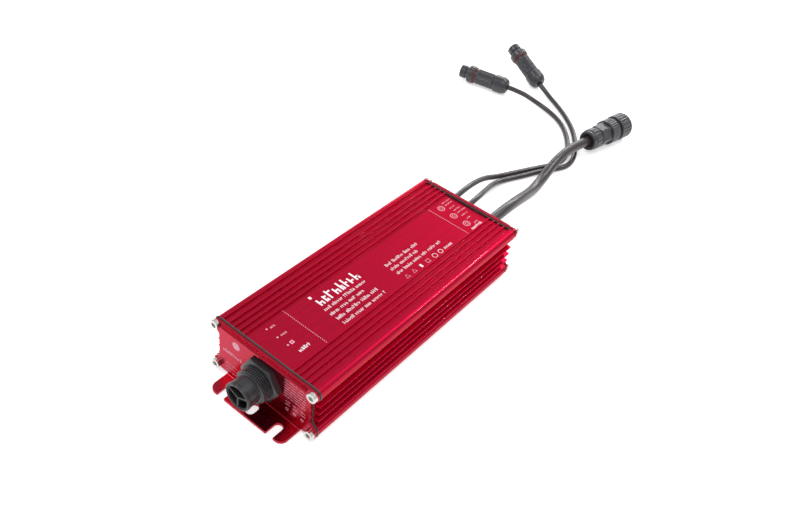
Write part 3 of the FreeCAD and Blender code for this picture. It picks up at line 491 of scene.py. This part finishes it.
def lead(name, route, radius):
    """A round cable along the route, given in mm."""
    data = bpy.data.curves.new(name, "CURVE")
    data.dimensions = "3D"
    spline = data.splines.new("NURBS")
    spline.points.add(len(route) - 1)
    for point, spot in zip(spline.points, route):
        point.co = (spot[0] * MM, spot[1] * MM, spot[2] * MM, 1)
    spline.order_u = 3
    spline.use_endpoint_u = True
    spline.resolution_u = 10
    data.bevel_depth = radius * MM
    data.bevel_resolution = 8
    data.materials.append(JACKET)
    item = bpy.data.objects.new(name, data)
    bpy.context.scene.collection.objects.link(item)
    return item


FLOOR = 2.5
ROUTE_A = [(-26, 106, 24.5), (-26, 131, 24.5), (-28.5, 154, 22.5), (-31.5, 175, 17), (-34, 195, 9.5),
           (-32, 212, 3.5), (-25.5, 229, FLOOR), (-18, 246, FLOOR), (-10, 262.5, FLOOR), (-3.5, 278, FLOOR),
           (-5, 294, FLOOR), (-12.5, 310, FLOOR), (-24, 327, FLOOR), (-39, 342, FLOOR), (-57, 351.5, FLOOR),
           (-76, 354.6, 3.9), (-94.6, 351, 9), (-113.2, 347.3, 9)]
ROUTE_B = [(-12, 106, 24.5), (-12, 131, 24.5), (-14.5, 153, 22.5), (-19.5, 172, 15.5), (-24.5, 190, 8.5),
           (-26.5, 206, 3.5), (-23, 219, FLOOR), (-16.5, 233, FLOOR), (-10.5, 249, FLOOR), (-2.5, 264, FLOOR),
           (4.5, 279, FLOOR), (2.5, 295, FLOOR), (-5, 311, FLOOR), (-13.5, 326, FLOOR), (-25, 341, FLOOR),
           (-40, 355, FLOOR), (-57.5, 368, FLOOR), (-78.1, 380.5, FLOOR), (-96.8, 386.3, 9.1)]
ROUTE_OUTPUT = [(12, 106, 24.5), (12, 133, 24.5), (11, 160, 23), (8.5, 186, 16.5), (5, 210, 8.5),
                (1.5, 232, 6), (-1, 253, 10.5), (-2.3, 272, 13), (-2.3, 290, 13),
                (-0.8, 305, 12.5), (3.4, 327.5, 12.4)]


# Heights along the small plug, from the cable end of its nut.
CAP_END = 15
SHELL_START = 16.2
SHELL_END = 34.6
SEAL_START = 36.6
FLANGE_START = 37.7
FLANGE_END = 44.7
TIP_START = 47.3
TIP_MIDDLE = 50.4
TIP_END = 53.5
MOUTH_FLOOR = 44.5


def slanted_ribs(angle, radius, height):
    """Fine slanted ribs on the small plug's body, and shallow flats round its nut."""
    if SHELL_START < height < SHELL_END - 0.1 and radius > 7.4:
        edge = fade(height, SHELL_START, SHELL_END - 0.1, 0.8, 0.8)
        return radius - 0.6 * edge * ridge(20 * angle + height * 1.1, 1.6)
    if 3.4 < height < CAP_END - 0.4 and radius > 7.6:
        return min(radius, hexagon(angle, 8.6))
    return radius


def tip_shape(angle, radius, height):
    """Two notches in the tip collar and two steps in the flange."""
    if height > TIP_START - 0.3 and radius > 6:
        notch = max(step_up(turn_of(angle, 0, 9), 2), step_up(turn_of(angle, 180, 9), 2))
        return radius - 0.9 * notch
    if FLANGE_START - 0.2 < height < FLANGE_END + 0.1 and radius > 8:
        flat = max(step_up(turn_of(angle, 90, 22), 3), step_up(turn_of(angle, 270, 22), 3))
        return radius - 0.35 * flat
    return radius


def shell_shape(angle, radius, height):
    return tip_shape(angle, slanted_ribs(angle, radius, height), height)


def make_control_plug(label, tip):
    centre, way = mount(tip)
    place = standing(centre - way * TIP_MIDDLE * MM, way)
    body = lathe(f"{label}_shell", [
        (0, 8), (6.6, 8), (6.6, CAP_END), (7.3, CAP_END + 0.1), (7.3, 16), (7.85, SHELL_START, 0.2),
        (7.85, SHELL_END, 0.3), (7.5, 35), (7.5, 35.7), (7.4, SEAL_START - 0.1), (6.95, SEAL_START),
        (6.95, FLANGE_START), (8.5, FLANGE_START), (8.5, 38.6), (9.0, 38.9, 0.5), (9.0, 43.6, 0.9),
        (8.3, FLANGE_END, 0.6), (5.6, FLANGE_END), (5.6, TIP_START), (6.65, TIP_START, 0.4),
        (6.65, TIP_END, 0.8), (4.9, TIP_END, 0.3), (4.9, MOUTH_FLOOR), (0, MOUTH_FLOOR)],
        place, PLUG_GREY, 180, shell_shape, 0.25, 0.7)
    nut = lathe(f"{label}_cap", [
        (2.5, 1.4), (3.4, 0.7, 0.6), (4.9, 0, 0.8), (7.0, 1.3, 1.4), (8.85, 5.2, 2.0), (8.85, 13.6, 0.5),
        (8.3, CAP_END - 0.1, 0.5), (6.7, CAP_END - 0.1), (6.7, 7.9), (2.5, 7.9)],
        place, PLUG_GREY, 120, slanted_ribs, 0.3, 0.8, 30)
    seal = lathe(f"{label}_seal", [
        (7.0, 36.75, 0.3), (8.3, 36.8, 0.5), (8.3, 37.5, 0.5), (7.0, FLANGE_START - 0.05, 0.3)],
        place, ORANGE, 96, None, 0.5)
    hand_over(body, [f"{label}_body"])
    hand_over(nut, [f"{label}_nut"])
    hand_over(seal, [f"{label}_ring"])
    return [body, nut, seal, NODES[f"{label}_insert"]]


# Heights along the output plug, from the cable end of its clamp nut.
CLAMP_END = 12.6
BLOCK_START = 13.8
COLLAR_START = 27.6
COLLAR_END = 38.9
RING_START = 41.9
RING_FLOOR = 44.4
RING_END = 57.0
NOSE_END = 51.6
CABLE_END = 12.2
STEM_START = 8.5


def clamp_shape(angle, radius, height):
    """Finger hollows round the clamp nut."""
    low, high = 4.6, CLAMP_END - 0.4
    if radius > 8.6 and low < height < high:
        return radius - 0.55 * fade(height, low, high, 0.9, 0.6) * ridge(16 * angle, 1.6)
    return radius


def output_body_shape(angle, radius, height):
    """A hexagonal block for the spanner, then a collar with fine ribs."""
    if BLOCK_START - 0.2 < height < COLLAR_START - 0.4 and radius > 9.5:
        return min(radius, hexagon(angle, 9.75, 10.8))
    low, high = COLLAR_START + 0.6, COLLAR_END - 0.5
    if low < height < high and radius > 11:
        return radius - 0.5 * fade(height, low, high, 0.8, 0.8) * ridge(32 * angle, 1.2)
    return radius


def coupling_shape(angle, radius, height):
    """Finger ribs on the coupling ring."""
    low, high = RING_START + 1.5, RING_END - 2
    if low < height < high and radius > 11.5:
        return radius - 0.6 * fade(height, low, high, 0.7, 0.7) * ridge(24 * angle, 1.0)
    return radius


def make_output_plug():
    joint = next(j for j in RECORD["behaviour"]["joints"] if j["name"] == "coupling_ring_spin")
    way = Vector(joint["axis"]).normalized()
    place = standing(Vector(joint["pos_m"]) - way * RING_FLOOR * MM, way)
    bore = THICK_LEAD + BORE_PLAY
    nut = lathe("output_plug_clamp", [
        (bore, 2.6), (5.7, 2.0, 0.5), (6.6, 0.6, 0.6), (8.7, 0, 0.9), (9.7, 0.9, 0.7), (9.3, 3.4, 0.6),
        (10.2, 4.4, 0.5), (10.2, CLAMP_END - 0.4, 0.5), (9.7, CLAMP_END), (7.5, CLAMP_END),
        (7.5, STEM_START), (bore, STEM_START)], place, PLUG_GREY, 192, clamp_shape, 0.3, 0.7)
    body = lathe("output_plug_shell", [
        (bore, STEM_START + 0.1), (7.4, STEM_START + 0.1), (7.4, CLAMP_END), (9.4, CLAMP_END),
        (9.4, CLAMP_END + 0.8), (10.8, BLOCK_START, 0.4), (10.8, COLLAR_START - 1, 0.5),
        (11.2, COLLAR_START - 0.4), (12.0, COLLAR_START, 0.5), (12.0, COLLAR_END - 0.3, 0.8),
        (10.1, COLLAR_END, 0.2), (10.1, RING_START - 0.3, 0.1), (9.0, RING_START - 0.3), (9.0, NOSE_END, 0.3),
        (7.2, NOSE_END, 0.3), (7.2, 45.0), (0, 45.0), (0, CABLE_END), (bore, CABLE_END)],
        place, PLUG_GREY, 216, output_body_shape, 0.2, 0.7)
    ring = lathe("output_coupling_ring_finished", [
        (9.3, RING_START), (11.6, RING_START, 0.5), (12.4, RING_START + 0.9, 0.5),
        (12.4, RING_END - 1.2, 0.5), (11.5, RING_END, 0.4), (10.6, RING_END, 0.3), (10.6, RING_FLOOR),
        (9.3, RING_FLOOR)],
        place, PLUG_GREY, 224, coupling_shape, 0.25, 0.7)
    hand_over(nut, ["output_plug_clamp_nut"])
    hand_over(body, ["output_plug_body"])
    hand_over(ring, ["output_coupling_ring"], "coupling_ring")
    return [nut, body, ring, NODES["output_plug_insert"]]


def make_leads():
    for label, route, radius, gland, length, pieces in (
            ("control_lead_a", ROUTE_A, THIN_LEAD, "control_gland_a", 0.334,
             make_control_plug("control_plug_a", "control_plug_a_tip")),
            ("control_lead_b", ROUTE_B, THIN_LEAD, "control_gland_b", 0.340,
             make_control_plug("control_plug_b", "control_plug_b_tip")),
            ("output_lead", ROUTE_OUTPUT, THICK_LEAD, "output_gland", 0.225, make_output_plug())):
        item = lead(f"{label}_cable", route, radius)
        hand_over(item, [label])


make_leads()


# ---------------------------------------------------------------- printed marks

INK_LIFT = 0.03


class Print:
    """Flat marks on one face: u and v run along the lines and up the letters, in mm."""

    def __init__(self, name, material, origin, along, up):
        self.name, self.material = name, material
        self.origin, self.along, self.up = Vector(origin), Vector(along), Vector(up)
        self.out = self.along.cross(self.up)
        self.points, self.faces = [], []
        self.dice = random.Random(name)

    def spot(self, u, v):
        return self.origin + (self.along * u + self.up * v + self.out * INK_LIFT) * MM

    def patch(self, corners):
        start = len(self.points)
        self.points += [self.spot(u, v) for u, v in corners]
        self.faces.append(tuple(range(start, start + len(corners))))

    def bar(self, u, v, width, tall):
        self.patch([(u, v), (u + width, v), (u + width, v + tall), (u, v + tall)])

    def disc(self, u, v, radius):
        steps = 24
        for step in range(steps):
            rim = [TAU * edge / steps for edge in (step, step + 1)]
            self.patch([(u + radius * math.cos(t), v + radius * math.sin(t)) for t in rim] + [(u, v)])

    def outline(self, u, v, radius, sides, line, turn=0.0):
        """A ring with this many sides."""
        for side in range(sides):
            spots = []
            for step, size in ((0, radius), (1, radius), (1, radius - line), (0, radius - line)):
                angle = TAU * (side + step) / sides + turn
                spots.append((u + size * math.cos(angle), v + size * math.sin(angle)))
            self.patch(spots)

    def words(self, u, v, length, tall, weight=0.14, gap=0.5):
        """A line of plain strokes grouped like words, with nothing in it that can be read."""
        end = u + length
        stroke = tall * weight
        while u < end - tall * 0.4:
            for _ in range(self.dice.randint(4, 8)):
                wide = tall * self.dice.choice((0.36, 0.42, 0.48))
                if u + wide > end:
                    break
                high = tall * self.dice.choice((0.72, 0.72, 1.0))
                self.bar(u, v, stroke, high)
                self.bar(u + stroke, v + high * self.dice.uniform(0.25, 0.7), wide - stroke, stroke)
                if self.dice.random() < 0.6:
                    self.bar(u + wide - stroke, v, stroke, high * self.dice.choice((0.4, 0.72, 1.0)))
                u += wide + tall * 0.17
            u += tall * gap

    def finish(self):
        hand_over(add_mesh(self.name, self.points, self.faces, self.material), [])


ICON_ROW = -17.2
SOCKET_ROW = 89.5


def print_panel():
    """Marks on the top: u is Y, v is -X."""
    origin = Vector((0, 0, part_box("housing")[1].z - PANEL_DROP * MM))
    marks = Print("panel_marks", INK, origin, (0, 1, 0), (-1, 0, 0))
    marks.words(-91.8, -13.3, 10.2, 2.7, 0.2)
    marks.words(-53.2, 4.7, 39.8, 8.6, 0.16, 0.0)
    marks.bar(-54.6, 13.9, 2.0, 2.4)
    for v, start, end in ((-0.1, -54.8, -13.8), (-5.5, -55.0, -22.5), (-11.0, -54.7, -13.4),
                          (-16.5, -54.4, -11.7), (-0.7, 7.4, 44.9), (-5.8, 7.3, 37.4), (-11.1, 7.5, 58.2)):
        marks.words(start, v - 0.3, end - start, 2.8)
    marks.bar(25.4, -18.6, 1.8, 3.2)
    marks.outline(42.2, ICON_ROW, 2.4, 6, 0.4)
    marks.outline(49.0, ICON_ROW, 2.1, 12, 0.45)
    marks.words(53.6, -18.4, 9.4, 2.8, 0.17)
    marks.words(87.1, -19.8, 12.6, 2.7, 0.18)
    marks.finish()
    faint = Print("panel_faint_marks", FAINT_INK, origin, (0, 1, 0), (-1, 0, 0))
    for step in range(25):
        faint.bar(-74.8, -19.2 + step * 1.64, 0.55, 0.75)
    for v in (14.9, 5.3, -3.7):
        faint.disc(-93.2, v, 0.65)
    faint.words(-90.6, 13.4, 4.6, 2.0, 0.2)
    faint.words(-90.6, 4.2, 4.9, 2.0, 0.2)
    faint.outline(-89.6, -3.7, 1.9, 4, 1.1, math.radians(45))
    for u, sides, turn in ((10.6, 3, 90), (18.4, 3, 90), (34.0, 4, 45)):
        faint.outline(u, ICON_ROW, 2.4, sides, 0.5, math.radians(turn))
    faint.bar(80.6, -20.2, 0.3, 38.4)
    for v in (12.1, 0.1, -12.0):
        faint.outline(SOCKET_ROW, v, 3.0, 16, 0.55)
        for number in range(5):
            angle = TAU * number / 5 + 0.3
            faint.disc(SOCKET_ROW + 1.35 * math.cos(angle), v + 1.35 * math.sin(angle), 0.48)
    for v, end in ((15.3, 104.6), (12.2, 104.0), (7.6, 100.6), (3.9, 103.2), (0.4, 104.8),
                   (-3.9, 102.0), (-8.6, 100.4), (-15.4, 99.8)):
        faint.words(94.5, v - 0.6, end - 94.5, 1.3, 0.2)
    faint.finish()


def print_plate():
    """Marks on the front plate: u is X, v is Z."""
    marks = Print("plate_marks", FAINT_INK, (0, PLATE_FRONT, 0), (1, 0, 0), (0, 0, 1))
    marks.disc(-24.2, 34.6, 3.2)
    marks.words(-36.0, 22.6, 17.8, 2.9, 0.17, 0.0)
    for level in (12.2, 8.8, 5.4):
        marks.words(-34.0, level, 14.0, 1.1, 0.18)
    for level in (38.4, 35.9, 33.3, 30.9, 28.5, 26.2, 23.8):
        marks.words(18.2, level, 18.4, 1.1, 0.18)
    for left in (19.6, 26.0, 32.4):
        marks.words(left, 19.4, 4.4, 1.2, 0.2)
        marks.words(left, 16.6, 4.4, 1.2, 0.2)
        marks.outline(left + 1.6, 12.6, 1.5, 4, 0.5, math.radians(45))
    marks.finish()


print_panel()
print_plate()


# ---------------------------------------------------------------- finishes of the hidden pieces

for plain, material in (("inlet_seal", RUBBER), ("inlet_pins", PLATED), ("control_plug_a_insert", CARRIER),
                        ("control_plug_b_insert", CARRIER), ("output_plug_insert", CARRIER),
                        ("insulating_liner", FILM), ("circuit_board", LAMINATE), ("board_standoffs", MOULDED),
                        ("mains_fuse", GLAZE), ("varistor", DISC), ("filter_choke_core", FERRITE),
                        ("filter_choke_winding", COPPER), ("film_capacitors", BOXED_FILM),
                        ("bridge_rectifier", EPOXY), ("boost_choke_core", FERRITE),
                        ("boost_choke_winding", COPPER), ("bulk_capacitors", SLEEVE),
                        ("power_transistors", EPOXY), ("heat_spreader", MILL), ("thermal_pad", GAP_PAD),
                        ("transformer_core", FERRITE), ("transformer_bobbin", MOULDED),
                        ("transformer_winding", COPPER), ("output_diodes", EPOXY),
                        ("output_capacitors", SLEEVE), ("control_chip", EPOXY),
                        ("output_terminals", MOULDED)):
    NODES[plain].data.materials.clear()
    NODES[plain].data.materials.append(material)


# ---------------------------------------------------------------- floor

FLOOR_GLOW = 0.48
FLOOR_HALF = 6


def add_floor():
    """A pale, slightly glowing table top, which keeps the shadows on it light."""
    material = paint("floor_white", (0.76, 0.76, 0.76), 0.7, grain=60, mottle=0.004, bump=0.0, specular=0.2)
    shader = material.node_tree.nodes["Principled BSDF"]
    shader.inputs["Emission Color"].default_value = (1, 1, 1, 1)
    shader.inputs["Emission Strength"].default_value = FLOOR_GLOW
    corners = [(x * FLOOR_HALF, y * FLOOR_HALF, 0) for x, y in ((-1, -1), (1, -1), (1, 1), (-1, 1))]
    item = add_mesh("floor", corners, [(0, 1, 2, 3)], material)


add_floor()
